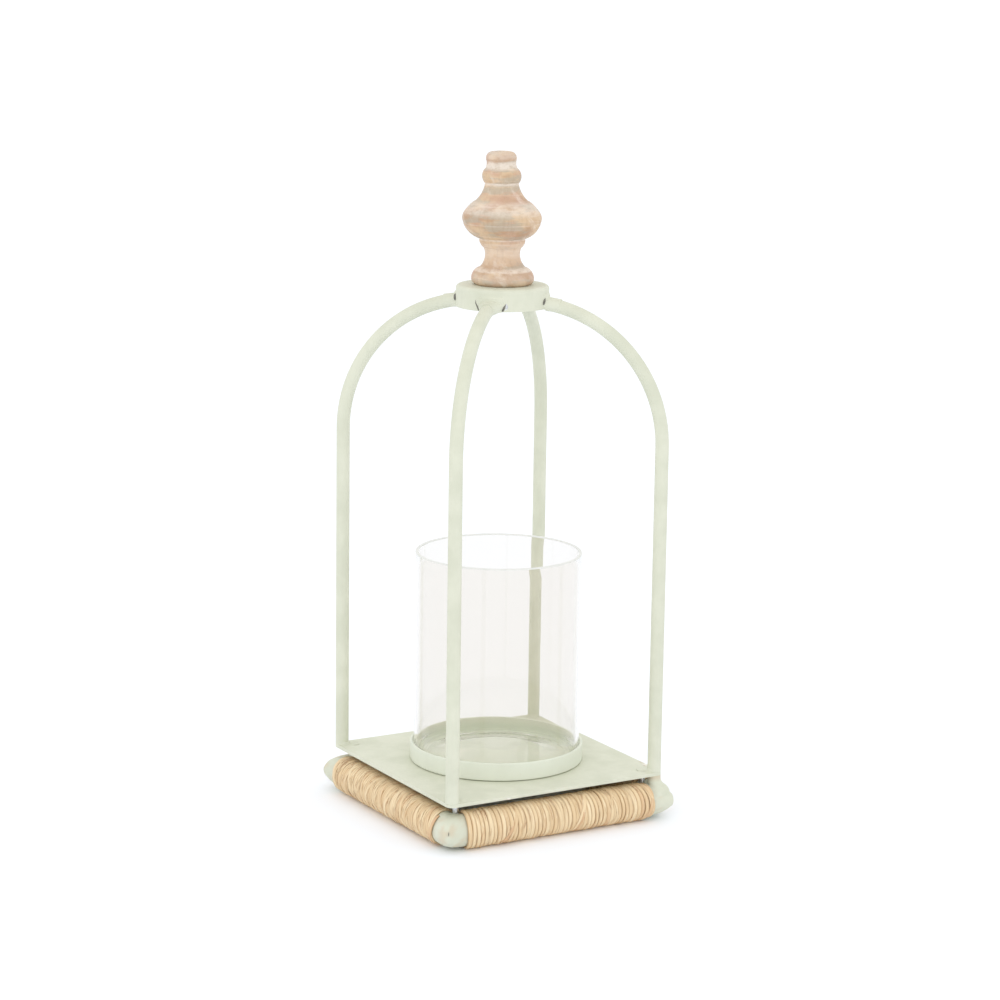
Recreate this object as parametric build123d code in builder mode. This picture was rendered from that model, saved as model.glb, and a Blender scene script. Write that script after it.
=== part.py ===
from build123d import *

import os
from math import acos, cos, degrees, radians, sin, sqrt

# Hurricane candle lantern.
#
# A square ring of round steel tube stands on the table, its four sides bound with raffia.
# Screws through the ring's corners carry a flat square plate a few millimetres above it.
# A shallow pressed cup on the plate holds a loose clear glass, which takes a pillar candle.
# Four round bars rise from the plate's corners and arch in to a pressed cap, and a turned
# wooden finial is screwed down on the cap.
#
# Millimetres. +Z is up. The origin is the centre of the base, on the surface it stands on.
# The front is -Y and the right is +X.

# ---------------------------------------------------------------- driving dimensions

# base ring
tube_d = 19.0            # outside diameter of the ring's tube
tube_wall = 1.5
ring_half = 69.0         # from the middle of the lantern to a rail's centre line
corner_grind = 4.1       # radius ground on the outside of each mitred corner, seen from above
grind_clear = 0.5        # the grinding outline stands this far outside the straight rails

# raffia binding
raffia_t = 1.9           # thickness of the binding on the tube
foot_flat = 0.3          # depth of the flat pressed on it by the table
raffia_half = 60.6       # half of a binding's length, along the rail's centre line
raffia_slant = 16.0      # degrees by which a binding's ends lean towards the mitre

# plate
plate_top = 28.5
plate_t = 2.0
plate_edge = 0.4         # rounding of the plate's top edge

# corner screws
screw_half = 64.0        # from the middle of the lantern to a screw, along X and along Y
screw_d = 4.0
screw_hole_d = 4.4
screw_head_d = 7.6
screw_head_h = 2.2
screw_head_z = 1.8       # height of the head's face above the table
thread_bite = 0.2        # the plate's tapped holes are this much under the screw's diameter
sink_clear = 0.2         # room round a screw's head, on the diameter

# lump of weld between the ring and the plate, at the front right corner
weld_top_r = 3.9
weld_foot_r = 4.9
weld_sink = 3.0          # how far the lump reaches down beside the tube

# cage
rod_d = 8.0
rod_half = 69.3          # from the middle of the lantern to a rod, along X and along Y
arch_start = 225.7       # height at which the rods begin to bend inwards
arch_r = 82.0            # bend radius of a rod's centre line
flare_w = 15.5           # width of a rod's hammered and welded end, across the rod
flare_h = 8.6            # height of the same end
flare_len = 8.0          # length over which the rod widens to it

# cap
cap_d = 55.0
cap_bottom = 304.4
cap_top = 317.3
cap_wall = 2.0
cap_edge = 2.2           # rounding of the cap's top edge

# glass and its seat
seat_d = 104.4
seat_h = 11.2
seat_wall = 1.5
seat_floor = 1.0
seat_heel = 1.2          # outside bend radius at the foot of the cup's wall
seat_rim = 0.6           # rounding of the cup's rim
glass_d = 100.0
glass_h = 127.3
glass_wall = 2.0
glass_floor = 4.6
glass_heel = 4.5         # rounding outside, at the foot of the glass
glass_inner_heel = 5.0
glass_rim_round = 0.9    # fire-polished rim
glass_rest = 4.0         # width of the flat ring that the glass stands on
glass_kick = 1.2         # height of the hollow under the glass, in the middle
glass_kick_half = 0.9    # height of the same hollow, half way out

# finial and its fixing
finial_h = 78.2
wood_screw_d = 5.0
wood_screw_len = 24.0    # length of the screw inside the wood
wood_screw_hole = 5.5    # clearance hole through the cap
wood_bite = 0.4          # the pilot hole is this much under the screw's diameter
wood_head_d = 9.0
wood_head_h = 2.8
wood_head_flat_r = 2.25  # radius of the flat on the head's crown
wood_head_bulge_r = 4.14  # radius half way down the head's domed side
wood_head_bulge_h = 1.54  # depth of that point under the washer
washer_d = 16.0
washer_t = 1.2

# ---------------------------------------------------------------- derived dimensions

tube_r = tube_d / 2
raffia_r = tube_r + raffia_t
rail_z = raffia_r - foot_flat                 # height of the ring's centre line
plate_bottom = plate_top - plate_t
weld_foot_z = rail_z + tube_r - weld_sink
plate_half = rod_half + rod_d / 2
rod_reach = rod_half * sqrt(2)                # from the middle of the lantern to a rod
glass_bottom = plate_top + seat_floor
finial_base = cap_top
past = 1.0                                    # how far a cutter runs past what it cuts

SIDES = {"front": 0, "right": 90, "back": 180, "left": 270}
CORNERS = {"front_left": 225, "front_right": 315, "back_right": 45, "back_left": 135}


def turned(plane, angle):
    """The plane, carried round the lantern's upright axis by an angle in degrees."""
    return Plane(Location((0, 0, 0), (0, 0, angle)) * plane.location)


def finish(builder, label):
    """Label a finished sub-part and write it to its own file."""
    builder.part.label = label
    export_step(builder.part, f"parts/{label}.step")


def near(sketch, *points):
    """The sketch's vertices nearest to the given points of its own plane."""
    return [sketch.vertices().sort_by_distance((x, y, 0))[0] for x, y in points]


os.makedirs("parts", exist_ok=True)

# ---------------------------------------------------------------- base ring


def build_rail(angle):
    """One side of the base ring: a tube with mitred ends, drilled for its corner screws."""
    rail_line = Plane(origin=(0, -ring_half, rail_z), x_dir=(0, 1, 0), z_dir=(1, 0, 0))
    grind_half = ring_half + tube_r + grind_clear
    with BuildPart() as rail:
        with BuildSketch(turned(rail_line, angle)):
            Circle(tube_r)
            Circle(tube_r - tube_wall, mode=Mode.SUBTRACT)
        extrude(amount=grind_half + past, both=True)
        for end in (-1, 1):
            mitre = Plane(origin=(0, 0, 0), z_dir=(end, -1, 0))
            split(bisect_by=turned(mitre, angle), keep=Keep.TOP)
        with BuildSketch():
            RectangleRounded(2 * grind_half, 2 * grind_half, corner_grind)
        extrude(amount=plate_bottom, mode=Mode.INTERSECT)
        with BuildSketch():
            with GridLocations(2 * screw_half, 2 * screw_half, 2, 2):
                Circle(screw_hole_d / 2)
        extrude(amount=plate_bottom, mode=Mode.SUBTRACT)
        with GridLocations(2 * screw_half, 2 * screw_half, 2, 2):
            with Locations((0, 0, screw_head_z)):
                Cone(
                    (screw_head_d + sink_clear) / 2,
                    (screw_d + sink_clear) / 2,
                    screw_head_h,
                    align=(Align.CENTER, Align.CENTER, Align.MIN),
                    mode=Mode.SUBTRACT,
                )
        with BuildSketch():
            with GridLocations(2 * screw_half, 2 * screw_half, 2, 2):
                Circle((screw_head_d + sink_clear) / 2)
        extrude(amount=screw_head_z, mode=Mode.SUBTRACT)
    return rail


for side, angle in SIDES.items():
    finish(build_rail(angle), f"base_rail_{side}")

# ---------------------------------------------------------------- raffia bindings


def build_raffia(angle):
    """The raffia wound on one side of the ring, as a sleeve with a flat foot."""
    rail_line = Plane(origin=(0, -ring_half, rail_z), x_dir=(0, 1, 0), z_dir=(1, 0, 0))
    lean = radians(raffia_slant)
    with BuildPart() as raffia:
        with BuildSketch(turned(rail_line, angle)):
            Circle(raffia_r)
            with Locations((0, -rail_z)):
                Rectangle(2 * raffia_r, raffia_r, align=(Align.CENTER, Align.MAX),
                          mode=Mode.SUBTRACT)
            Circle(tube_r, mode=Mode.SUBTRACT)
        extrude(amount=raffia_half + raffia_r, both=True)
        for end in (-1, 1):
            cut = Plane(
                origin=(end * raffia_half, -ring_half, 0),
                z_dir=(end * cos(lean), sin(lean), 0),
            )
            split(bisect_by=turned(cut, angle), keep=Keep.BOTTOM)
    return raffia


for side, angle in SIDES.items():
    finish(build_raffia(angle), f"raffia_wrap_{side}")

# ---------------------------------------------------------------- plate and its screws

with BuildPart() as base_plate:
    with BuildSketch(Plane.XY.offset(plate_bottom)):
        RectangleRounded(2 * plate_half, 2 * plate_half, rod_d / 2)
        with GridLocations(2 * screw_half, 2 * screw_half, 2, 2):
            Circle((screw_d - thread_bite) / 2, mode=Mode.SUBTRACT)
    extrude(amount=plate_t)
    top_face = base_plate.faces().sort_by(Axis.Z)[-1]
    fillet(top_face.outer_wire().edges(), plate_edge)
finish(base_plate, "base_plate")

with BuildPart() as corner_screws:
    with GridLocations(2 * screw_half, 2 * screw_half, 2, 2):
        with Locations((0, 0, screw_head_z)):
            Cone(screw_head_d / 2, screw_d / 2, screw_head_h,
                 align=(Align.CENTER, Align.CENTER, Align.MIN))
        with Locations((0, 0, screw_head_z + screw_head_h)):
            Cylinder(screw_d / 2, plate_top - screw_head_z - screw_head_h,
                     align=(Align.CENTER, Align.CENTER, Align.MIN))
finish(corner_screws, "corner_screws")

# The front right corner is bridged from the ring to the plate by a lump of weld.
with BuildPart() as corner_weld:
    with BuildSketch(Plane.XY.offset(weld_foot_z)):
        with Locations((rod_half, -rod_half)):
            Circle(weld_foot_r)
    with BuildSketch(Plane.XY.offset(plate_bottom)):
        with Locations((rod_half, -rod_half)):
            Circle(weld_top_r)
    loft()
    for along in ((1, 0, 0), (0, 1, 0)):
        with BuildSketch(Plane(origin=(ring_half, -ring_half, rail_z), z_dir=along)):
            Circle(tube_r)
        extrude(amount=2 * tube_d, both=True, mode=Mode.SUBTRACT)
    with BuildSketch(Plane.XY.offset(weld_foot_z)):
        with Locations((screw_half, -screw_half)):
            Circle(screw_hole_d / 2)
    extrude(amount=plate_bottom, mode=Mode.SUBTRACT)
finish(corner_weld, "corner_weld")

# ---------------------------------------------------------------- cage


def build_rod(angle):
    """One bar of the cage: upright from the plate, then an arch to the cap's side wall."""
    upright = turned(Plane.XZ, angle)
    arch_centre = rod_reach - arch_r
    turn = degrees(acos((cap_d / 2 - cap_wall - arch_centre) / arch_r))
    at_cap = radians(turn)
    with BuildPart() as rod:
        with BuildLine(upright):
            Line((rod_reach, plate_top), (rod_reach, arch_start))
            arch = CenterArc((arch_centre, arch_start), arch_r, 0, turn)
        with BuildSketch(turned(Plane(origin=(rod_reach, 0, plate_top), z_dir=(0, 0, 1)), angle)):
            Circle(rod_d / 2)
        sweep()
        # the end is hammered wider where it is welded to the cap
        joint = Plane(origin=arch @ 1, x_dir=(upright.z_dir.X, upright.z_dir.Y, 0), z_dir=arch % 1)
        with BuildSketch(joint):
            Ellipse(flare_w / 2, flare_h / 2)
        with BuildSketch(joint.offset(-flare_len - cap_wall)):
            Circle(rod_d / 2)
        loft()
        with BuildSketch(Plane.XY.offset(cap_bottom - rod_d)):
            Circle(cap_d / 2)
        extrude(amount=cap_top - cap_bottom + 2 * rod_d, mode=Mode.SUBTRACT)
    return rod


for corner, angle in CORNERS.items():
    finish(build_rod(angle), f"cage_rod_{corner}")

# ---------------------------------------------------------------- cap

with BuildPart() as top_cap:
    with BuildSketch(Plane.XZ) as section:
        with BuildLine():
            Polyline(
                (wood_screw_hole / 2, cap_top),
                (cap_d / 2, cap_top),
                (cap_d / 2, cap_bottom),
                (cap_d / 2 - cap_wall, cap_bottom),
                (cap_d / 2 - cap_wall, cap_top - cap_wall),
                (wood_screw_hole / 2, cap_top - cap_wall),
                close=True,
            )
        make_face()
        fillet(near(section, (cap_d / 2, cap_top)), cap_edge)
    revolve(axis=Axis.Z)
finish(top_cap, "top_cap")

# ---------------------------------------------------------------- glass seat and glass

seat_r = seat_d / 2
seat_bore_r = seat_r - seat_wall
seat_top = plate_top + seat_h

with BuildPart() as glass_seat:
    with BuildSketch(Plane.XZ) as section:
        with BuildLine():
            Polyline(
                (0, plate_top),
                (seat_r, plate_top),
                (seat_r, seat_top),
                (seat_bore_r, seat_top),
                (seat_bore_r, plate_top + seat_floor),
                (0, plate_top + seat_floor),
                close=True,
            )
        make_face()
        fillet(near(section, (seat_r, plate_top)), seat_heel)
        fillet(near(section, (seat_r, seat_top), (seat_bore_r, seat_top)), seat_rim)
    revolve(axis=Axis.Z)
finish(glass_seat, "glass_seat")

glass_r = glass_d / 2
glass_rim = glass_bottom + glass_h
rest_r = glass_r - glass_heel - glass_rest
bowl_r = glass_r - glass_wall
bowl_z = glass_bottom + glass_floor

with BuildPart() as hurricane_glass:
    with BuildSketch(Plane.XZ) as section:
        with BuildLine():
            ThreePointArc(
                (0, glass_bottom + glass_kick),
                (rest_r / 2, glass_bottom + glass_kick_half),
                (rest_r, glass_bottom),
            )
            Polyline(
                (rest_r, glass_bottom),
                (glass_r, glass_bottom),
                (glass_r, glass_rim),
                (bowl_r, glass_rim),
                (bowl_r, bowl_z),
                (0, bowl_z),
                (0, glass_bottom + glass_kick),
            )
        make_face()
        fillet(near(section, (glass_r, glass_bottom)), glass_heel)
        fillet(near(section, (bowl_r, bowl_z)), glass_inner_heel)
        fillet(near(section, (glass_r, glass_rim), (bowl_r, glass_rim)), glass_rim_round)
    revolve(axis=Axis.Z)
finish(hurricane_glass, "hurricane_glass")

# ---------------------------------------------------------------- finial and its fixing

with BuildPart() as finial:
    with BuildSketch(Plane(origin=(0, 0, finial_base), x_dir=(1, 0, 0), z_dir=(0, -1, 0))):
        with BuildLine():
            Line((0, 0), (16.4, 0))
            Spline((16.4, 0), (19.0, 3.4), (17.5, 7.7), (14.1, 10.0))     # foot bead
            Line((14.1, 10.0), (13.3, 10.4))
            ThreePointArc((13.3, 10.4), (10.25, 17.6), (11.0, 21.6))      # lower cove
            ThreePointArc((11.0, 21.6), (13.1, 24.2), (13.5, 27.0))       # collar
            Line((13.5, 27.0), (14.3, 27.3))
            ThreePointArc((14.3, 27.3), (20.6, 31.8), (23.4, 38.6))       # bowl of the bulb
            Spline((23.4, 38.6), (22.6, 42.0), (19.2, 46.3), (15.9, 48.9),
                   tangents=((0, 1), (-1, 0.55)))                         # shoulder of the bulb
            Line((15.9, 48.9), (15.2, 49.3))
            ThreePointArc((15.2, 49.3), (11.4, 54.5), (9.9, 59.2))        # upper cove
            ThreePointArc((9.9, 59.2), (11.55, 63.9), (9.2, 68.2))        # bead
            ThreePointArc((9.2, 68.2), (8.8, 70.4), (9.15, 72.6))         # neck of the knob
            ThreePointArc((9.15, 72.6), (8.75, 76.3), (6.4, 77.7))        # knob
            TangentArc((0, finial_h), (6.4, 77.7), tangent=(1, 0))
            Line((0, finial_h), (0, 0))
        make_face()
    revolve(axis=Axis.Z)
    with BuildSketch(Plane.XY.offset(finial_base)):
        Circle((wood_screw_d - wood_bite) / 2)
    extrude(amount=wood_screw_len + past, mode=Mode.SUBTRACT)
finish(finial, "finial")

washer_top = cap_top - cap_wall
with BuildPart() as finial_washer:
    with BuildSketch(Plane.XY.offset(washer_top - washer_t)):
        Circle(washer_d / 2)
        Circle(wood_screw_hole / 2, mode=Mode.SUBTRACT)
    extrude(amount=washer_t)
finish(finial_washer, "finial_washer")

head_top = washer_top - washer_t
tip_z = finial_base + wood_screw_len
with BuildPart() as finial_screw:
    with BuildSketch(Plane.XZ):
        with BuildLine():
            Line((0, head_top - wood_head_h), (wood_head_flat_r, head_top - wood_head_h))
            ThreePointArc(
                (wood_head_flat_r, head_top - wood_head_h),
                (wood_head_bulge_r, head_top - wood_head_bulge_h),
                (wood_head_d / 2, head_top),
            )
            Polyline(
                (wood_head_d / 2, head_top),
                (wood_screw_d / 2, head_top),
                (wood_screw_d / 2, tip_z - wood_screw_d),
                (0, tip_z),
                (0, head_top - wood_head_h),
            )
        make_face()
    revolve(axis=Axis.Z)
finish(finial_screw, "finial_screw")
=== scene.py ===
import math

import bmesh
import bpy
import numpy as np
from mathutils import Matrix, Vector, noise


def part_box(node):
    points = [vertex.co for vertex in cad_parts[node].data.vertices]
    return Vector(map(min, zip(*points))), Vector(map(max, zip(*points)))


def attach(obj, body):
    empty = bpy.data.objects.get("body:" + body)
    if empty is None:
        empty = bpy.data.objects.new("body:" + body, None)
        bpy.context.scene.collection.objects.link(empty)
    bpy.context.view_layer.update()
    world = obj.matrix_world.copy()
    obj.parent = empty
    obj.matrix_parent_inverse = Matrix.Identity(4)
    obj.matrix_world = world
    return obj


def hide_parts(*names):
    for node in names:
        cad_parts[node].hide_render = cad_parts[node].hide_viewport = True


# A hurricane candle lantern: a raffia-bound steel ring, a plate, a cup and its clear glass, a cage
# of four arched bars welded to a cap, and a turned, whitewashed finial.
# Metres, +Z up, the origin under the middle of the base. The front is -Y and the right is +X.

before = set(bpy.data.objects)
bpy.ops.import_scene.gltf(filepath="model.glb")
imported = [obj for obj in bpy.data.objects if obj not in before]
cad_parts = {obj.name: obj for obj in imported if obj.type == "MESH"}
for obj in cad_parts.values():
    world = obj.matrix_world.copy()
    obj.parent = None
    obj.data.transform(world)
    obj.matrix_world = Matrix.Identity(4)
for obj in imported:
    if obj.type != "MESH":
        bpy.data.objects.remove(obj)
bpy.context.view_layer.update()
scene = bpy.context.scene

BODY = "frame"
GLASS_BODY = "glass"
MM = 0.001
SIDES = {"front": 0, "right": 90, "back": 180, "left": 270}
CORNERS = {"front_left": 225, "front_right": 315, "back_right": 45, "back_left": 135}

# ---------------------------------------------------------------- camera and studio

VIEW_AZIMUTH = -30.3          # degrees; 0 looks along +Y
VIEW_ELEVATION = 11.55
VIEW_ROLL = 0.81
VIEW_DISTANCE = 1.790
VIEW_TARGET = Vector((0.00021, -0.00012, 0.1877))
LENS = 108.0

WORLD_LIGHT = 1.14
KEY_WATTS = 4.4
KEY_PLACE, KEY_AIM, KEY_SIZE = Vector((-1.3, -1.7, 1.3)), Vector((0, 0, 0.15)), (1.4, 1.4)
FLOOR_SIZE = 6.0
FLOOR_WHITE = (0.93, 0.955, 1.0)
BOUNCES = 32                  # so that light caught in the glass wall comes out again
DIFFUSE_BOUNCES = 10


def add_camera():
    azimuth, elevation = math.radians(VIEW_AZIMUTH), math.radians(VIEW_ELEVATION)
    away = Vector((
        math.sin(azimuth) * math.cos(elevation),
        -math.cos(azimuth) * math.cos(elevation),
        math.sin(elevation),
    ))
    right = Vector((0, 0, 1)).cross(away).normalized()
    up = away.cross(right)
    turn = Matrix((right, up, away)).transposed().to_4x4()
    turn = turn @ Matrix.Rotation(math.radians(VIEW_ROLL), 4, "Z")
    camera = bpy.data.objects.new("camera", bpy.data.cameras.new("camera"))
    camera.data.lens = LENS
    camera.data.sensor_width = 36.0
    camera.data.clip_end = 20.0
    camera.matrix_world = Matrix.Translation(VIEW_TARGET + away * VIEW_DISTANCE) @ turn
    scene.collection.objects.link(camera)
    scene.camera = camera


def add_key_light():
    light = bpy.data.objects.new("key", bpy.data.lights.new("key", "AREA"))
    light.data.shape = "RECTANGLE"
    light.data.size, light.data.size_y = KEY_SIZE
    light.data.energy = KEY_WATTS
    light.location = KEY_PLACE
    light.rotation_euler = (KEY_AIM - KEY_PLACE).to_track_quat("-Z", "Y").to_euler()
    scene.collection.objects.link(light)


def add_studio():
    """A white world and a white floor, and how far light is followed."""
    world = bpy.data.worlds.new("studio")
    world.use_nodes = True
    backdrop = world.node_tree.nodes["Background"]
    backdrop.inputs["Color"].default_value = (1.0, 1.0, 1.0, 1.0)
    backdrop.inputs["Strength"].default_value = WORLD_LIGHT
    scene.world = world

    sheet = bmesh.new()
    bmesh.ops.create_grid(sheet, x_segments=8, y_segments=8, size=FLOOR_SIZE)
    mesh = bpy.data.meshes.new("floor")
    sheet.to_mesh(mesh)
    sheet.free()
    floor = bpy.data.objects.new("floor", mesh)
    scene.collection.objects.link(floor)
    white, _, shader = new_material("floor_white")
    shader.inputs["Base Color"].default_value = (*FLOOR_WHITE, 1.0)
    shader.inputs["Roughness"].default_value = 1.0
    shader.inputs["Specular IOR Level"].default_value = 0.0
    mesh.materials.append(white)
    scene.view_settings.view_transform = "Standard"
    scene.view_settings.look = "None"
    scene.cycles.max_bounces = BOUNCES
    scene.cycles.transmission_bounces = BOUNCES
    scene.cycles.glossy_bounces = BOUNCES
    scene.cycles.diffuse_bounces = DIFFUSE_BOUNCES


# ---------------------------------------------------------------- material nodes


def new_material(name):
    material = bpy.data.materials.new(name)
    material.use_nodes = True
    tree = material.node_tree
    return material, tree, tree.nodes["Principled BSDF"]


def put(tree, socket, value):
    """Give a socket a link, a colour or a plain number."""
    if isinstance(value, bpy.types.NodeSocket):
        tree.links.new(value, socket)
    elif socket.type == "RGBA":
        socket.default_value = (*value, 1.0)
    else:
        socket.default_value = value


def place(tree, stretch=(1, 1, 1), shift=(0, 0, 0)):
    """The point on the piece, in metres, stretched and shifted for a pattern."""
    point = tree.nodes.new("ShaderNodeTexCoord").outputs["Object"]
    return remap(tree, point, stretch, shift)


def remap(tree, vector, stretch, shift=(0, 0, 0)):
    mapping = tree.nodes.new("ShaderNodeMapping")
    tree.links.new(vector, mapping.inputs["Vector"])
    mapping.inputs["Scale"].default_value = stretch
    mapping.inputs["Location"].default_value = shift
    return mapping.outputs["Vector"]


def cloud(tree, vector, scale, detail, roughness=0.55):
    node = tree.nodes.new("ShaderNodeTexNoise")
    tree.links.new(vector, node.inputs["Vector"])
    node.inputs["Scale"].default_value = scale
    node.inputs["Detail"].default_value = detail
    node.inputs["Roughness"].default_value = roughness
    return node.outputs["Fac"]


def span(tree, value, low, high, out_low=0.0, out_high=1.0):
    """Carry a value from one range to another, smoothly and clamped."""
    node = tree.nodes.new("ShaderNodeMapRange")
    node.interpolation_type = "SMOOTHSTEP"
    tree.links.new(value, node.inputs["Value"])
    node.inputs["From Min"].default_value = low
    node.inputs["From Max"].default_value = high
    node.inputs["To Min"].default_value = out_low
    node.inputs["To Max"].default_value = out_high
    return node.outputs["Result"]


def combine(tree, operation, first, second):
    node = tree.nodes.new("ShaderNodeMath")
    node.operation = operation
    put(tree, node.inputs[0], first)
    put(tree, node.inputs[1], second)
    return node.outputs["Value"]


def blend(tree, factor, first, second):
    """Mix two colours; a factor of 1 gives the second."""
    node = tree.nodes.new("ShaderNodeMix")
    node.data_type = "RGBA"
    put(tree, node.inputs["Factor"], factor)
    put(tree, node.inputs["A"], first)
    put(tree, node.inputs["B"], second)
    return node.outputs["Result"]


def emboss(tree, height, distance, strength):
    node = tree.nodes.new("ShaderNodeBump")
    node.inputs["Distance"].default_value = distance
    node.inputs["Strength"].default_value = strength
    tree.links.new(height, node.inputs["Height"])
    return node.outputs["Normal"]


def attribute(tree, name, output="Fac"):
    node = tree.nodes.new("ShaderNodeAttribute")
    node.attribute_type = "GEOMETRY"
    node.attribute_name = name
    return node.outputs[output]


def dress(tree, shader, colour, roughness, normal=None):
    """Link a material's colour, its roughness and any bumps to its shader."""
    tree.links.new(colour, shader.inputs["Base Color"])
    tree.links.new(roughness, shader.inputs["Roughness"])
    if normal is not None:
        tree.links.new(normal, shader.inputs["Normal"])


# ---------------------------------------------------------------- materials

SAGE, SAGE_SHADE = (0.688, 0.699, 0.576), (0.624, 0.640, 0.518)
CUP_SAGE, CUP_SHADE = (0.74, 0.768, 0.66), (0.705, 0.73, 0.622)
RUST_STAIN = (0.62, 0.52, 0.37)
# pale marks on the paint, and the painted reflection on the cup's floor
CHALK_AND_REFLECTION = (0.87, 0.84, 0.77)
STAIN_SHARE, CUP_STAIN_SHARE = 0.28, 0.2  # how far the stained blotches spread
PAINT_SPECULAR = 0.28

STRAW_DARK, STRAW, STRAW_PALE = (0.68, 0.45, 0.265), (0.765, 0.58, 0.35), (0.85, 0.69, 0.45)
STRAW_FIBRE = (0.57, 0.36, 0.205)  # the darker fibres along a strand
STRAW_FLECK = (0.91, 0.79, 0.575)
# painted shade: the colour the strands' sides take in the hollows between the turns
STRAW_HOLLOW_SHADE = (0.40, 0.235, 0.115)  # between the turns
RAFFIA_SPECULAR = 0.3

WOOD_BROWN, WOOD_TAN = (0.475, 0.30, 0.18), (0.645, 0.47, 0.30)
WOOD_ROSY, WOOD_FRESH, WOOD_GREY = (0.54, 0.33, 0.23), (0.73, 0.54, 0.37), (0.44, 0.385, 0.295)
WOOD_GRAIN = (0.36, 0.23, 0.15)
WHITEWASH, WHITEWASH_RINGS = (0.845, 0.755, 0.66), (0.84, 0.74, 0.64)
WOOD_SPECULAR = 0.3

ZINC_BRIGHT, ZINC_WORN = (0.80, 0.81, 0.84), (0.55, 0.56, 0.58)
# painted shade: the dark of the slits beside the welds
CREVICE_SHADE_DARK, CREVICE_SHADE_GREY = (0.10, 0.095, 0.08), (0.26, 0.25, 0.22)

GLASS_TINT, GLASS_FLOOR_TINT = (0.9405, 0.919, 0.885), (0.87, 0.90, 0.825)
GLASS_IOR = 1.38
GLASS_PASS = (0.99, 0.99, 0.985)  # the colour of the light it lets straight through
GLASS_LAST_BOUNCE = 5.5  # past this depth a ray goes straight through
ABSORBED, ABSORPTION_DENSITY = (0.50, 0.50, 0.46), 13.0
# painted highlight: the pale grey line along the glass's rim
RIM_HIGHLIGHT_GREY, RIM_HIGHLIGHT_PALE = (0.70, 0.71, 0.675), (0.76, 0.76, 0.73)


def make_paint(name, base, shade, stain_share):
    """Thick matt paint over steel: mottled, faintly brushed, with a few thin or stained places, and pale
    painted reflections where a piece marks them.
    """
    material, tree, shader = new_material(name)
    mottle = span(tree, cloud(tree, place(tree), 55, 4), 0.32, 0.68)
    brushed = span(tree, cloud(tree, place(tree, (1, 1, 0.12)), 420, 3), 0.3, 0.75)
    blotch = span(tree, cloud(tree, place(tree, shift=(3, 1, 2)), 23, 5, 0.62), 1 - stain_share, 1.0)
    speck = span(tree, cloud(tree, place(tree, shift=(1, 4, 2)), 900, 1), 0.76, 0.82)
    colour = blend(tree, mottle, base, shade)
    colour = blend(tree, combine(tree, "MULTIPLY", brushed, 0.35), colour, shade)
    colour = blend(tree, blotch, colour, RUST_STAIN)
    colour = blend(tree, combine(tree, "MULTIPLY", speck, 0.5), colour, RUST_STAIN)
    rusty = combine(tree, "MULTIPLY", attribute(tree, "rust"), 0.75)
    colour = blend(tree, rusty, colour, RUST_STAIN)
    # pale marks, and on the cup's floor a painted reflection
    chalk_and_reflection_share = combine(tree, "MULTIPLY", attribute(tree, "chalk_and_reflection"), 0.8)
    colour = blend(tree, chalk_and_reflection_share, colour, CHALK_AND_REFLECTION)
    shader.inputs["Specular IOR Level"].default_value = PAINT_SPECULAR
    skin = combine(tree, "ADD", cloud(tree, place(tree), 700, 2), brushed)
    roughness = span(tree, mottle, 0, 1, 0.5, 0.64)
    dress(tree, shader, colour, roughness, emboss(tree, skin, 0.00006, 0.6))
    return material


def make_raffia():
    """Paper raffia: pale straw strands, each its own tint, with fibres along them, and painted shade on
    their sides in the hollows between the turns.
    """
    material, tree, shader = new_material("raffia")
    strand = attribute(tree, "strand", "Vector")
    tint = attribute(tree, "tint")
    groove = attribute(tree, "groove")
    fibre = cloud(tree, remap(tree, strand, (20, 0.8, 1)), 2.2, 4, 0.6)
    fleck = cloud(tree, remap(tree, strand, (90, 0.9, 1), shift=(5, 3, 1)), 1.8, 2)
    colour = blend(tree, span(tree, tint, 0.0, 0.5), STRAW_DARK, STRAW)
    colour = blend(tree, span(tree, tint, 0.5, 1.0), colour, STRAW_PALE)
    colour = blend(tree, span(tree, fibre, 0.48, 0.34, 0, 0.5), colour, STRAW_FIBRE)
    colour = blend(tree, span(tree, fleck, 0.56, 0.70, 0, 0.55), colour, STRAW_FLECK)
    # painted shade: the groove mark darkens the strands' sides where the turns meet
    colour = blend(tree, combine(tree, "MULTIPLY", groove, 0.85), colour, STRAW_HOLLOW_SHADE)
    shader.inputs["Specular IOR Level"].default_value = RAFFIA_SPECULAR
    roughness = span(tree, fibre, 0.3, 0.7, 0.72, 0.55)
    dress(tree, shader, colour, roughness, emboss(tree, fibre, 0.00035, 0.8))
    return material


def worn_wood(tree, grain):
    """The bare wood's colour: tan and brown patches, rosy and grey ones, and dark grain."""
    patch = span(tree, cloud(tree, place(tree, (1, 1, 1.9)), 55, 3, 0.55), 0.38, 0.62)
    colour = blend(tree, patch, WOOD_BROWN, WOOD_TAN)
    rosy = cloud(tree, place(tree, (1, 1, 1.6), shift=(7, 2, 4)), 46, 3)
    colour = blend(tree, span(tree, rosy, 0.50, 0.66, 0, 0.75), colour, WOOD_ROSY)
    fresh = combine(tree, "MULTIPLY", attribute(tree, "light"), 0.6)
    colour = blend(tree, fresh, colour, WOOD_FRESH)
    smear = cloud(tree, place(tree, (0.6, 0.6, 2.6), shift=(6, 1, 3)), 75, 4, 0.6)
    grey = span(tree, smear, 0.48, 0.60, 0, 0.7)
    grey = combine(tree, "MULTIPLY", grey, span(tree, fresh, 0, 0.6, 1, 0.4))
    colour = blend(tree, grey, colour, WOOD_GREY)
    return blend(tree, span(tree, grain, 0.50, 0.36, 0, 0.2), colour, WOOD_GRAIN)


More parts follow.
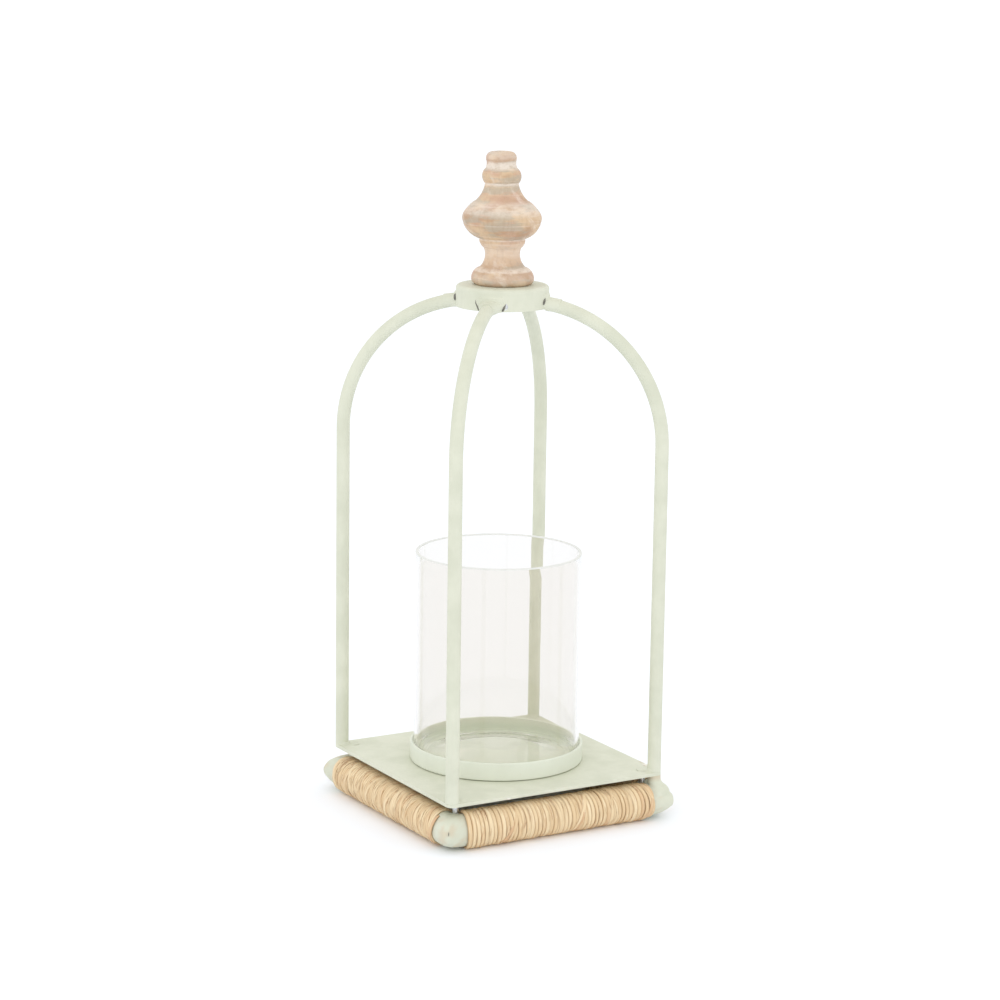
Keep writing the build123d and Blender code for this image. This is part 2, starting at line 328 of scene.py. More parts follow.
def make_wood():
    """Turned softwood, sanded pink-brown, with whitewash left in the hollows and in streaks."""
    material, tree, shader = new_material("whitewashed_wood")
    grain = cloud(tree, place(tree, (1, 1, 0.14)), 520, 3)
    turning = cloud(tree, place(tree, (0.02, 0.02, 1)), 800, 3, 0.7)
    brushed = attribute(tree, "brushed", "Vector")
    stroke = cloud(tree, remap(tree, brushed, (1, 1, 0.42), shift=(2, 5, 1)), 84, 4, 0.62)
    wash = combine(tree, "MAXIMUM", span(tree, stroke, 0.52, 0.72, 0, 0.7), attribute(tree, "recess"))
    broken = cloud(tree, place(tree, (1, 1, 1.8), shift=(1, 1, 6)), 210, 4, 0.65)
    wash = combine(tree, "MULTIPLY", wash, span(tree, broken, 0.28, 0.6, 0.35, 1))
    washed = combine(tree, "MULTIPLY", wash, 0.85)
    colour = blend(tree, washed, worn_wood(tree, grain), WHITEWASH)
    colour = blend(tree, span(tree, turning, 0.58, 0.72, 0, 0.35), colour, WHITEWASH_RINGS)
    shader.inputs["Specular IOR Level"].default_value = WOOD_SPECULAR
    ridges = combine(tree, "ADD", turning, combine(tree, "MULTIPLY", grain, 0.6))
    roughness = span(tree, wash, 0, 1, 0.5, 0.75)
    dress(tree, shader, colour, roughness, emboss(tree, ridges, 0.00022, 0.7))
    return material


def make_steel(name, base, worn):
    """Zinc-plated steel, faintly streaked and dulled."""
    material, tree, shader = new_material(name)
    cloudy = span(tree, cloud(tree, place(tree), 700, 4), 0.35, 0.65)
    colour = blend(tree, cloudy, base, worn)
    shader.inputs["Metallic"].default_value = 1.0
    drawn = cloud(tree, place(tree, (1, 1, 6)), 1500, 2)
    roughness = span(tree, cloudy, 0, 1, 0.24, 0.42)
    dress(tree, shader, colour, roughness, emboss(tree, drawn, 0.00003, 0.5))
    return material


def make_crevice_shade():
    """Painted shade: the dark of a crevice beside a weld."""
    material, tree, shader = new_material("weld_crevice_shade")
    cloudy = cloud(tree, place(tree), 900, 3)
    colour = blend(tree, span(tree, cloudy, 0.35, 0.65), CREVICE_SHADE_DARK, CREVICE_SHADE_GREY)
    dress(tree, shader, colour, span(tree, cloudy, 0.3, 0.7, 0.8, 0.95))
    return material


def unseen_share(tree):
    """1 for rays the glass lets straight through: shadows, soft light and rays caught inside."""
    path = tree.nodes.new("ShaderNodeLightPath")
    soft = combine(tree, "MAXIMUM", path.outputs["Is Shadow Ray"], path.outputs["Is Diffuse Ray"])
    caught = combine(tree, "GREATER_THAN", path.outputs["Ray Depth"], GLASS_LAST_BOUNCE)
    return combine(tree, "MAXIMUM", soft, caught)


def make_glass():
    """Clear soda glass with a faint warm grey, fine ripples, and lamps let through it."""
    material, tree, shader = new_material("clear_glass")
    tint = blend(tree, attribute(tree, "thick"), GLASS_TINT, GLASS_FLOOR_TINT)
    tree.links.new(tint, shader.inputs["Base Color"])
    shader.inputs["Roughness"].default_value = 0.0
    shader.inputs["IOR"].default_value = GLASS_IOR
    shader.inputs["Transmission Weight"].default_value = 1.0
    ripple = cloud(tree, place(tree, (1, 1, 0.35)), 60, 2)
    tree.links.new(emboss(tree, ripple, 0.00012, 0.35), shader.inputs["Normal"])
    clear = tree.nodes.new("ShaderNodeBsdfTransparent")
    clear.inputs["Color"].default_value = (*GLASS_PASS, 1.0)
    mixed = tree.nodes.new("ShaderNodeMixShader")
    tree.links.new(unseen_share(tree), mixed.inputs[0])
    tree.links.new(shader.outputs["BSDF"], mixed.inputs[1])
    tree.links.new(clear.outputs["BSDF"], mixed.inputs[2])
    depth = tree.nodes.new("ShaderNodeVolumeAbsorption")
    depth.inputs["Color"].default_value = (*ABSORBED, 1.0)
    depth.inputs["Density"].default_value = ABSORPTION_DENSITY
    out = tree.nodes["Material Output"]
    tree.links.new(mixed.outputs["Shader"], out.inputs["Surface"])
    tree.links.new(depth.outputs["Volume"], out.inputs["Volume"])
    return material


def make_rim_highlight():
    """The polished edge of the glass, which shows as a pale grey line: a painted highlight, opaque grey
    in place of the light the clear rim catches.
    """
    material, tree, shader = new_material("glass_edge_highlight")
    cloudy = span(tree, cloud(tree, place(tree), 300, 3), 0.35, 0.65)
    colour = blend(tree, cloudy, RIM_HIGHLIGHT_GREY, RIM_HIGHLIGHT_PALE)
    dress(tree, shader, colour, span(tree, cloudy, 0, 1, 0.35, 0.55))
    return material


# ---------------------------------------------------------------- mesh helpers

WELD_DISTANCE = 0.002 * MM
SHORTEST_EDGE = 0.0001 * MM


def wander(rng, count, step):
    """Smooth random numbers from -1 to 1, turning about once every step samples."""
    knots = rng.uniform(-1, 1, int(count / step) + 3)
    where = np.arange(count) / step
    low = where.astype(int)
    ease = where - low
    ease = ease * ease * (3 - 2 * ease)
    return knots[low] * (1 - ease) + knots[low + 1] * ease


def turned(points, degrees):
    """Points carried round the lantern's upright axis."""
    angle = math.radians(degrees)
    turn = np.array([
        [math.cos(angle), math.sin(angle), 0],
        [-math.sin(angle), math.cos(angle), 0],
        [0, 0, 1],
    ])
    return points @ turn


def tube_faces(rows, columns, start):
    """The faces of one closed tube of points, with a cap at each end."""
    index = np.arange(rows * columns).reshape(rows, columns) + start
    across = np.hstack([index, index[:, :1]])
    quads = np.stack([across[:-1, :-1], across[:-1, 1:], across[1:, 1:], across[1:, :-1]], axis=-1)
    return quads.reshape(-1, 4).tolist() + [index[0].tolist(), index[-1, ::-1].tolist()]


def mesh_from(name, grids):
    """A mesh from several closed tubes, each a grid of points by rows, with its marks."""
    points, faces, marks, start = [], [], {}, 0
    for grid, notes in grids:
        rows, columns = grid.shape[:2]
        faces += tube_faces(rows, columns, start)
        points.append(grid.reshape(-1, 3))
        for key, value in notes.items():
            marks.setdefault(key, []).append(np.asarray(value, np.float32).reshape(rows * columns, -1))
        start += rows * columns
    mesh = bpy.data.meshes.new(name)
    mesh.from_pydata(np.vstack(points).tolist(), [], faces)
    for key, values in marks.items():
        stacked = np.vstack(values)
        if stacked.shape[1] == 3:
            mesh.attributes.new(key, "FLOAT_VECTOR", "POINT").data.foreach_set("vector", stacked.ravel())
        else:
            mesh.attributes.new(key, "FLOAT", "POINT").data.foreach_set("value", stacked.ravel())
    return mesh


def build(name, grids, material, body=BODY, sharp=None, weld=False):
    """One piece from its tubes; weld joins the points that meet on a lathe's axis."""
    mesh = mesh_from(name, grids)
    shell = bmesh.new()
    shell.from_mesh(mesh)
    if weld:
        bmesh.ops.remove_doubles(shell, verts=shell.verts, dist=WELD_DISTANCE)
        bmesh.ops.dissolve_degenerate(shell, edges=shell.edges, dist=SHORTEST_EDGE)
    bmesh.ops.recalc_face_normals(shell, faces=shell.faces)
    shell.to_mesh(mesh)
    shell.free()
    mesh.shade_smooth()
    if sharp:
        mesh.set_sharp_from_angle(angle=math.radians(sharp))
    mesh.materials.append(material)
    piece = bpy.data.objects.new(name, mesh)
    scene.collection.objects.link(piece)
    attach(piece, body)
    return piece


def rounded(corners, step):
    """An outline through (radius, height, rounding) corners, with arcs in steps of that length."""
    outline = []
    for i, (x, y, rounding) in enumerate(corners):
        here = Vector((x, y))
        if rounding == 0 or i in (0, len(corners) - 1):
            outline.append(here)
            continue
        back = (Vector(corners[i - 1][:2]) - here).normalized()
        ahead = (Vector(corners[i + 1][:2]) - here).normalized()
        half = back.angle(ahead) / 2
        run = rounding / math.tan(half)
        centre = here + (back + ahead).normalized() * (rounding / math.sin(half))
        first, last = here + back * run - centre, here + ahead * run - centre
        turn = math.atan2(first.cross(last), first.dot(last))
        count = max(3, math.ceil(abs(turn) * rounding / step))
        for k in range(count + 1):
            outline.append(centre + Matrix.Rotation(turn * k / count, 2) @ first)
    return [(p.x, p.y) for p in outline]


def lathe(outline, segments, marks=None):
    """A grid of points turned round the Z axis: a row for each point of the outline."""
    angle = np.linspace(0, 2 * math.pi, segments, endpoint=False)
    outline = np.asarray(outline)
    grid = np.empty((len(outline), segments, 3))
    grid[..., 0] = outline[:, :1] * np.cos(angle)
    grid[..., 1] = outline[:, :1] * np.sin(angle)
    grid[..., 2] = outline[:, 1:2]
    notes = {key: np.repeat(value[:, None], segments, 1) for key, value in (marks or {}).items()}
    return grid, notes


def lumps(points, size, height, seed):
    """Bumps on a surface: how far each point is pushed, from smooth noise of that size."""
    shift = Vector((seed * 7.3, seed * 3.1, seed * 5.7))
    flat = points.reshape(-1, 3)
    push = [noise.noise(Vector(p) / size + shift) * height for p in flat]
    return np.array(push).reshape(points.shape[:2])


# ---------------------------------------------------------------- base ring

RAIL_LOW, RAIL_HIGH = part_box("base_rail_front")
TUBE_R = (RAIL_HIGH.z - RAIL_LOW.z) / 2
RING_Z = (RAIL_HIGH.z + RAIL_LOW.z) / 2
RING_HALF = -(RAIL_HIGH.y + RAIL_LOW.y) / 2
# Rounding of the ground corners, seen from above at mid height: front left, then round to the right.
CORNER_ROUND = (3.2 * MM, 1.0 * MM, 2.6 * MM, 3.0 * MM)
CORNER_SOFTEN = 5.5 * MM       # how much rounder they are towards the tube's top and bottom
CORNER_MIN_BEND = 0.6 * MM     # the least rounding, which the tube's inner side has
CORNER_STAIN = (0.12, 0.05, 0.15, 0.32)    # how stained the bare corners are
RING_POINTS = 48               # points round the tube
CORNER_STEPS = 9               # points along half a rounded corner
BARE_FADE = 7 * MM             # over this length the stains of a bare corner fade in


def rounded_corner(corner, out, phi):
    """Half of one rounded corner: points from its mitre to the start of the straight."""
    outer = max(0.0, 0.5 + 0.5 * math.cos(phi)) ** 0.5
    bend = (CORNER_ROUND[corner % 4] + CORNER_SOFTEN * math.sin(phi) ** 2) * outer + CORNER_MIN_BEND
    inner = out - bend
    return [(-inner - bend * math.sin(a), -inner - bend * math.cos(a))
            for a in np.radians(np.linspace(45, 0, CORNER_STEPS))]


def rail_skin(number):
    """The front rail's points, out to both mitres; the number picks the corners' rounding."""
    along = np.concatenate([np.linspace(0, 0.2, 10), np.linspace(0.25, 0.75, 4), np.linspace(0.8, 1, 10)])
    columns = []
    for phi in np.linspace(0, 2 * math.pi, RING_POINTS, endpoint=False):
        out = RING_HALF + TUBE_R * math.cos(phi)
        left = rounded_corner(number, out, phi)
        right = [(-x, y) for x, y in reversed(rounded_corner(number + 1, out, phi))]
        start, end = left[-1][0], right[0][0]
        middle = [(start + (end - start) * t, -out) for t in along[1:-1]]
        columns.append([(x, y, RING_Z + TUBE_R * math.sin(phi)) for x, y in left + middle + right])
    return np.array(columns).transpose(1, 0, 2)


def ring_rail(number, degrees):
    """One side of the ring with its ground corners, lumpy and stained where they are bare."""
    grid = rail_skin(number)
    inset = np.minimum(np.abs(grid[..., 0]), np.abs(grid[..., 1]))
    nose = np.clip((inset - RING_HALF) / TUBE_R, 0, 1)
    bare = np.clip((inset - WRAP_HALF) / BARE_FADE, 0, 1)
    centre = np.stack([
        np.clip(grid[..., 0], -RING_HALF, RING_HALF),
        np.full(grid.shape[:2], -RING_HALF),
        np.full(grid.shape[:2], RING_Z),
    ], axis=-1)
    dirt = np.where(grid[..., 0] < 0, CORNER_STAIN[number], CORNER_STAIN[(number + 1) % 4])
    away = turned(grid - centre, degrees)
    away /= np.linalg.norm(away, axis=-1, keepdims=True)
    grid = turned(grid, degrees)
    push = (lumps(grid, 6 * MM, 1.1 * MM, 11) + lumps(grid, 2.2 * MM, 0.3 * MM, 12)) * nose
    stained = bare * np.clip(dirt + 1.6 * lumps(grid, 5 * MM, 1.0, 14), 0, 0.75)
    return grid + away * push[..., None], {"rust": stained}


# ---------------------------------------------------------------- raffia

WRAP_LOW, WRAP_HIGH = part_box("raffia_wrap_front")
WRAP_R = (WRAP_HIGH.y - WRAP_LOW.y) / 2
WRAP_HALF = 60.6 * MM          # half of a binding's length along the rail's centre line
WRAP_LEAN = math.radians(14)   # lean of a binding's last turns towards the mitre
STRAND_THICK = WRAP_R - TUBE_R
STRAND_WIDTH = 2.65 * MM
STRAND_POINTS = 12             # points round a strand's section
FLATNESS = 0.8                 # power that squares off a strand's section
TURN_POINTS = 44               # points round one turn
FLOOR_GAP = 0.05 * MM


def on_rail(along, radius, phi):
    """A point beside the front rail: phi is 0 facing out, and 90 degrees on top."""
    lean = math.tan(WRAP_LEAN) * radius * np.cos(phi) * along * np.abs(along) / WRAP_HALF**2
    return np.stack([along + lean, -RING_HALF - radius * np.cos(phi), RING_Z + radius * np.sin(phi)], -1)


def strand(along, radius, phi, half_width, half_thick, rng, tint, hollow_shade=1.0):
    """A flattened, softly folded strand that follows a path round the rail."""
    count = len(along)
    path = on_rail(along, radius, phi)
    outward = np.stack([np.zeros(count), -np.cos(phi), np.sin(phi)], -1)
    tangent = np.gradient(path, axis=0)
    tangent /= np.linalg.norm(tangent, axis=1, keepdims=True)
    across = np.cross(tangent, outward)
    across /= np.linalg.norm(across, axis=1, keepdims=True)
    section = np.linspace(0, 2 * math.pi, STRAND_POINTS, endpoint=False)
    twist = 2.2 * wander(rng, count, 18) + np.arange(count) * 0.02
    twist = twist[:, None]
    fold = 1 + 0.09 * np.sin(3 * section + twist) + 0.05 * np.sin(5 * section - 2 * twist)
    flat = np.abs(np.stack([np.cos(section), np.sin(section)])) ** FLATNESS
    wide = half_width[:, None] * np.sign(np.cos(section)) * flat[0] * fold
    high = half_thick[:, None] * np.sign(np.sin(section)) * flat[1] * fold
    grid = path[:, None] + across[:, None] * wide[..., None] + outward[:, None] * high[..., None]
    grid[..., 2] = np.maximum(grid[..., 2], FLOOR_GAP)
    length = np.concatenate([[0], np.cumsum(np.linalg.norm(np.diff(path, axis=0), axis=1))])
    marks = np.empty((count, STRAND_POINTS, 3))
    marks[..., 0] = length[:, None]
    marks[..., 1] = np.cos(section)
    marks[..., 2] = rng.uniform(0, 30)
    # painted shade: the section's sides and inner face, which lie in the hollows between neighbouring
    # turns, are marked darker
    groove = np.clip((0.72 - np.sin(section)) / 0.5, 0, 1) * hollow_shade * np.ones((count, 1))
    return grid, {
        "strand": marks,
        "tint": np.repeat(tint[:, None], STRAND_POINTS, 1),
        "groove": groove,
    }


def winding(rng, turns, first, last, thin, hollow_shade, breadth, uneven):
    """The long strand wound from one end of a binding to the other, thinner towards the last."""
    width = (last - first) * MM / turns * rng.uniform(0.9, 1.11, turns + 1)
    edge = np.concatenate([[0], np.cumsum((width[1:] + width[:-1]) / 2)])
    along = (first + edge / edge[-1] * (last - first)) * MM
    count = turns * TURN_POINTS
    place_in_turns = np.arange(count) / TURN_POINTS
    knots = np.arange(turns + 1)
    path = np.interp(place_in_turns, knots, along) + 0.13 * MM * wander(rng, count, 9)
    half_width = np.interp(place_in_turns, knots, width) * breadth * (1 + 0.09 * wander(rng, count, 13))
    half_thick = STRAND_THICK * 0.48 * (1 + uneven * wander(rng, count, 16))
    half_thick *= 1 - thin * place_in_turns / turns
    radius = TUBE_R + half_thick * (0.98 + 0.5 * uneven * wander(rng, count, 11))
    fade = np.clip(np.minimum(place_in_turns, turns - place_in_turns) * 6, 0.25, 1)
    phi = -0.5 * math.pi - 2 * math.pi * place_in_turns
    tint = np.interp(place_in_turns, knots, 0.62 + 0.24 * rng.standard_normal(turns + 1))
    tint = np.clip(tint + 0.14 * wander(rng, count, 20), 0, 1)
    hollow_shade = hollow_shade * (1 + 0.35 * wander(rng, count, 7))[:, None]
    return strand(path, radius, phi, half_width * fade, half_thick * fade, rng, tint, hollow_shade)


def crossing(rng, thin, hollow_shade, start, end, low, high, width, tint):
    """A strand that crosses over its neighbours, from angle low to angle high on the rail."""
    count = max(12, int(abs(high - low) / 360 * TURN_POINTS * 1.3))
    share = np.linspace(0, 1, count)
    ease = share * share * (3 - 2 * share)
    arch = np.sin(math.pi * share) ** 0.6
    along = (start + (end - start) * ease) * MM + 0.15 * MM * wander(rng, count, 7)
    radius = TUBE_R + STRAND_THICK * (0.42 + 0.42 * arch) * (1 - 0.5 * thin * (1 + along / WRAP_HALF))
    half_width = STRAND_WIDTH * 0.46 * width * (0.55 + 0.45 * arch)
    half_thick = STRAND_THICK * 0.36 * (0.5 + 0.5 * arch)
    phi = np.radians(low + (high - low) * share)
    shade = np.clip(tint + 0.15 * wander(rng, count, 8), 0, 1)
    return strand(along, radius, phi, half_width, half_thick, rng, shade, hollow_shade)


def whisker(rng):
    """A loose fibre that lifts off the binding at one end."""
    count = 16
    share = np.linspace(0, 1, count)
    start = rng.uniform(-0.95, 0.95) * WRAP_HALF
    first = rng.uniform(-60, 120)
    reach = rng.uniform(25, 70) * rng.choice([-1, 1])
    along = start + rng.uniform(-2.5, 2.5) * MM * share**1.5
    radius = TUBE_R + STRAND_THICK * 0.96 + rng.uniform(0.2, 0.9) * MM * share**2.2
    thick = 0.13 * MM * (1.1 - share)
    tint = np.full(count, rng.uniform(0.5, 1.0))
    return strand(along, radius, np.radians(first + reach * share), thick, thick, rng, tint)


def split_fibre(rng, thin, stray):
    """A fine fibre, split from its strand, that lies across a turn or two."""
    share = np.linspace(0, 1, 12)
    along = rng.uniform(-0.97, 0.97) * WRAP_HALF + rng.uniform(-stray, stray) * MM * share
    first, reach = rng.uniform(-80, 130), rng.uniform(18, 65) * rng.choice([-1, 1])
    radius = TUBE_R + STRAND_THICK * (0.96 - 0.48 * thin * (1 + along / WRAP_HALF))
    thick = rng.uniform(0.12, 0.34) * MM * np.sin(math.pi * (0.06 + 0.88 * share)) ** 0.6
    tint = np.full(12, rng.choice([0.1, 0.5, 0.8, 1.0]))
    return strand(along, radius, np.radians(first + reach * share), thick, 0.6 * thick, rng, tint, 0.6)


# Each crossing strand: where it starts and ends along its rail in millimetres, its first and last
# angle round the rail, its breadth as a share of a strand's, and its tint.
CROSSINGS = {
    "front": [
        (19, 8.5, 115, -70, 1.2, 0.75), (16.5, 10, 95, -80, 0.8, 0.15), (13, 11.5, 120, 0, 0.7, 0.6),
        (-33, -41, 25, -88, 0.9, 0.05), (-30, -36, 60, -80, 0.9, 0.45), (33, 37.5, 125, -10, 0.8, 0.5),
        (38, 33, 120, 10, 0.8, 0.65), (-4, -1, 110, -80, 0.9, 0.8), (58, 60.5, 120, -60, 0.9, 0.3),
        (61, 57.5, 100, -80, 1.0, 0.1),
    ],
    "left": [
        (-60.5, -55, 125, -70, 1.1, 0.8), (-46, -37, 120, -30, 0.8, 0.9), (-41, -45, 100, -60, 0.9, 0.7),
        (-26, -20, 100, -75, 1.0, 0.6), (-12, -19, 110, -60, 0.9, 0.75), (-3, 3, 115, -70, 0.9, 0.5),
        (10, 4, 90, -80, 1.0, 0.8), (20, 28, 110, -60, 1.1, 0.65), (34, 29, 120, -70, 0.9, 0.6),
        (40, 46, 100, -80, 0.9, 0.8), (52, 57, 120, -50, 0.9, 0.3), (61, 56, 60, -95, 1.0, 0.1),
    ],
    "right": [
        (-59, -54, 120, -80, 1.0, 0.4), (-36, -30, 110, -80, 1.0, 0.7), (-20, -15, 130, -60, 1.0, 0.7),
        (8, 1, 115, -75, 1.1, 0.5), (30, 25, 110, -70, 0.9, 0.2), (47, 54, 120, -80, 1.0, 0.7),
    ],
    "back": [
        (-44, -39, 120, -80, 1.0, 0.6), (-24, -17, 110, -75, 1.0, 0.8), (5, 0, 130, -60, 1.0, 0.3),
        (26, 33, 115, -80, 1.1, 0.6), (51, 56, 110, -70, 0.9, 0.7),
    ],
}

# Each binding: its turns, where it starts and ends along its rail in millimetres, how much thinner
# it gets towards its end, how dark the painted shade in the hollows between its turns is, the
# strand's half breadth as a share of the turns' spacing, and how uneven the strand's thickness is.
BINDINGS = {
    "front": (47, -62.2, 59.4, 0.0, 0.75, 0.515, 0.13),
    "right": (45, -59.4, 59.4, 0.1, 0.6, 0.53, 0.13),
    "back": (46, -59.4, 59.4, 0.0, 0.7, 0.52, 0.13),
    "left": (64, -59.4, 59.4, 0.4, 0.5, 0.52, 0.1),
}
# How many fine split fibres lie across each binding, and how far they stray, in millimetres.
SPLIT_FIBRES = {"front": (70, 1.8), "right": (80, 2.2), "back": (70, 1.8), "left": (230, 3.6)}
WHISKERS = 14


def bind(side, degrees, seed):
    """One side's binding: the long strand, what crosses it, and its loose fibres."""
    rng = np.random.default_rng(seed)
    thin, hollow_shade = BINDINGS[side][3:5]
    grids = [winding(rng, *BINDINGS[side])]
    grids += [crossing(rng, thin, hollow_shade, *values) for values in CROSSINGS[side]]
    grids += [whisker(rng) for _ in range(WHISKERS)]
    count, stray = SPLIT_FIBRES[side]
    grids += [split_fibre(rng, thin, stray) for _ in range(count)]
    grids = [(turned(grid, degrees), notes) for grid, notes in grids]
    piece = build(f"raffia_binding_{side}", grids, RAFFIA)
    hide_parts(f"raffia_wrap_{side}")


# ---------------------------------------------------------------- pieces turned on a lathe

PLATE_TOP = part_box("base_plate")[1].z
FINIAL_LEAN = math.radians(1.3)     # the finial is screwed down a little out of true
# Where the finial's whitewash was left thicker: height, half breadth in millimetres, and share.
WASHED = ((9.2, 1.3, 0.9), (3.5, 4.5, 0.35), (20.0, 4.5, 0.42), (45.5, 4.0, 0.65), (59.3, 0.7, 0.9),
          (70.0, 2.6, 0.9), (76.0, 3.0, 0.45))
GROOVES = ((36.2, 0.2, 0.3, 0.4), (44.6, 0.12, 0.4, 0.45))    # height, depth, breadth, whitewash
NECK = (19.0, 7.0)                  # the palest wood: its height and half breadth in millimetres
BRUSH_TWIST = 38.0                  # how the brush strokes wind round the finial, in radians a metre
FINIAL_STEPS = 420
HOLLOW_SPAN, HOLLOW_DEPTH = 5 * MM, 0.55 * MM    # hollows this narrow and deep keep their whitewash


def turned_profile(low, high):
    """The finial's outline from its CAD node, from its foot on the axis to its top on the axis."""
    rings = {}
    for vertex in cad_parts["finial"].data.vertices:
        radius = math.hypot(vertex.co.x, vertex.co.y)
        if radius > 3 * MM or vertex.co.z > high - MM:      # the screw's hole is left out
            level = round(vertex.co.z, 6)
            rings[level] = max(rings.get(level, 0), radius)
    profile = np.array([(0, low)] + [(rings[z], z) for z in sorted(rings)] + [(0, high)])
    rise = (profile[:, 1] - low) / MM
    top, foot = np.clip((rise - 69) / 5, 0, 1), np.clip((11 - rise) / 4, 0, 1)
    profile[:, 0] *= 1 - 0.05 * top - 0.03 * foot
    return profile


def finial_outline():
    """The finial's outline in fine steps with two turned grooves, and where whitewash is left."""
    low, high = (corner.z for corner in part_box("finial"))
    coarse = turned_profile(low, high)
    run = np.concatenate([[0], np.cumsum(np.linalg.norm(np.diff(coarse, axis=0), axis=1))])
    fine = np.linspace(0, run[-1], FINIAL_STEPS)
    outline = np.stack([np.interp(fine, run, coarse[:, 0]), np.interp(fine, run, coarse[:, 1])], -1)
    window = int(HOLLOW_SPAN / (run[-1] / FINIAL_STEPS)) | 1
    padded = np.pad(outline[:, 0], window // 2, mode="edge")
    mean = np.convolve(padded, np.ones(window) / window, "valid")
    recess = np.clip((mean - outline[:, 0]) / HOLLOW_DEPTH, 0, 1)
    rise = (outline[:, 1] - low) / MM
    for height, depth, breadth, share in GROOVES:
        groove = np.exp(-((rise - height) / breadth) ** 2)
        outline[:, 0] -= depth * MM * groove
        recess = np.maximum(recess, share * groove)
    for height, breadth, share in WASHED:
        recess = np.maximum(recess, share * np.exp(-((rise - height) / breadth) ** 4))
    return outline, recess


def make_finial():
    """The turned finial, a little lumpy and out of true, with its brush strokes' direction."""
    outline, recess = finial_outline()
    rise = (outline[:, 1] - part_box("finial")[0].z) / MM
    light = np.exp(-((rise - NECK[0]) / NECK[1]) ** 4)
    grid, notes = lathe(outline, 120, {"recess": recess, "light": light})
    radius = np.hypot(grid[..., 0], grid[..., 1])
    push = lumps(grid, 11 * MM, 0.22 * MM, 3) + lumps(grid * (1, 1, 4), 5 * MM, 0.07 * MM, 5)
    scale = 1 + push / np.maximum(radius, 2 * MM) * np.clip(radius / (6 * MM), 0, 1)
    grid[..., :2] *= scale[..., None]
    rise = grid[..., 2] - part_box("finial")[0].z
    lean, azimuth = math.tan(FINIAL_LEAN) * rise, math.radians(VIEW_AZIMUTH)
    grid[..., 0] -= lean * math.cos(azimuth)
    grid[..., 1] -= lean * math.sin(azimuth)
    twist = BRUSH_TWIST * rise
    notes["brushed"] = np.stack([
        grid[..., 0] * np.cos(twist) - grid[..., 1] * np.sin(twist),
        grid[..., 0] * np.sin(twist) + grid[..., 1] * np.cos(twist),
        grid[..., 2],
    ], -1)
    piece = build("finial_turned", [(grid, notes)], WOOD, sharp=50, weld=True)
    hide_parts("finial")


def between(first, last, step):
    """Points from the first towards the last, a step or less apart."""
    count = max(1, math.ceil(math.dist(first, last) / step))
    return [tuple(a + (b - a) * k / count for a, b in zip(first, last)) for k in range(count)]


def filled(outline, step):
    """An outline with points added, so that they lie a step or less apart."""
    pairs = zip(outline[:-1], outline[1:])
    return [point for first, last in pairs for point in between(first, last, step)] + outline[-1:]


def make_seat():
    """The pressed cup, its rolled foot standing a hair clear of the plate, with pale blotches on its
    floor as a painted reflection from the glass's bottom.
    """
    low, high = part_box("glass_seat")
    out, wall, foot, floor = high.x, 1.5 * MM, 0.45 * MM, 1.0 * MM
    outline = rounded([
        (0, low.z, 0), (out - 4 * MM, low.z, 0.2 * MM), (out - 2.2 * MM, low.z + foot, 0.2 * MM),
        (out, low.z + foot, 0.55 * MM), (out, high.z, 0.55 * MM), (out - wall, high.z, 0.6 * MM),
        (out - wall, low.z + floor, 1.0 * MM), (0, low.z + floor, 0),
    ], 0.15 * MM)
    grid, notes = lathe(filled(outline, 1.5 * MM), 160)
    inside = (grid[..., 2] < low.z + 2 * MM) & (np.hypot(grid[..., 0], grid[..., 1]) < 40 * MM)
    # painted reflection: pale blotches on the cup's floor under the glass stand in for the reflections in
    # the glass's bottom
    reflection_blotches = 2.2 * lumps(grid, 13 * MM, 1.0, 17) + 1.2 * lumps(grid, 5 * MM, 1.0, 18) - 0.55
    notes["chalk_and_reflection"] = np.clip(reflection_blotches, 0, 1) * inside
    piece = build("glass_seat_cup", [(grid, notes)], CUP_PAINT, sharp=50, weld=True)
    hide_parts("glass_seat")


def make_glass_piece():
    """The cylinder glass with its heavy floor, hollow underneath, and its polished rim."""
    low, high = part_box("hurricane_glass")
    out, wall, floor, heel, lip = high.x, 2.0 * MM, 4.6 * MM, 4.5 * MM, 0.9 * MM
    rest = out - heel - 4 * MM
    outline = rounded([
        (0, low.z + 1.2 * MM, 0), (rest * 0.7, low.z + 0.8 * MM, 20 * MM), (rest, low.z, 3 * MM),
        (out, low.z, heel), (out, high.z, lip), (out - wall, high.z, lip),
        (out - wall, low.z + floor, 5 * MM), (0, low.z + floor - 0.5 * MM, 0),
    ], 0.25 * MM)
    tall = filled(outline, 6 * MM)
    thick = np.clip(((low.z + 9 * MM) - np.array(tall)[:, 1]) / (3 * MM), 0, 1)
    grid, notes = lathe(tall, 192, {"thick": thick})
    piece = build("hurricane_glass_clear", [(grid, notes)], GLASS, GLASS_BODY, weld=True)
    # the rim's faces take the painted highlight
    piece.data.materials.append(RIM_HIGHLIGHT)
    for face in piece.data.polygons:
        face.material_index = int(face.center.z > high.z - lip)
    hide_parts("hurricane_glass")


# ---------------------------------------------------------------- welds

CAP_LOW, CAP_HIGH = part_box("top_cap")
CAP_R = CAP_HIGH.x
# Half of each weld's breadth at the cap's lower edge, in millimetres.
FAN_BREADTH = {"front_left": 6.6, "front_right": 5.2, "back_right": 6.2, "back_left": 6.4}
FAN_ROWS, FAN_COLUMNS = 34, 40
FAN_UNDER, FAN_TALL = 0.2 * MM, 9.2 * MM     # how far a weld goes below and above that edge
FAN_DEPTH = 0.9 * MM                         # how far it is sunk in the cap's wall


def on_cap(across, height, offset):
    """Points on the front of the cap's side wall, or a little outside or inside it."""
    angle = -0.5 * math.pi + across / CAP_R
    radius = CAP_R + offset
    return np.stack([radius * np.cos(angle), radius * np.sin(angle), height], -1)


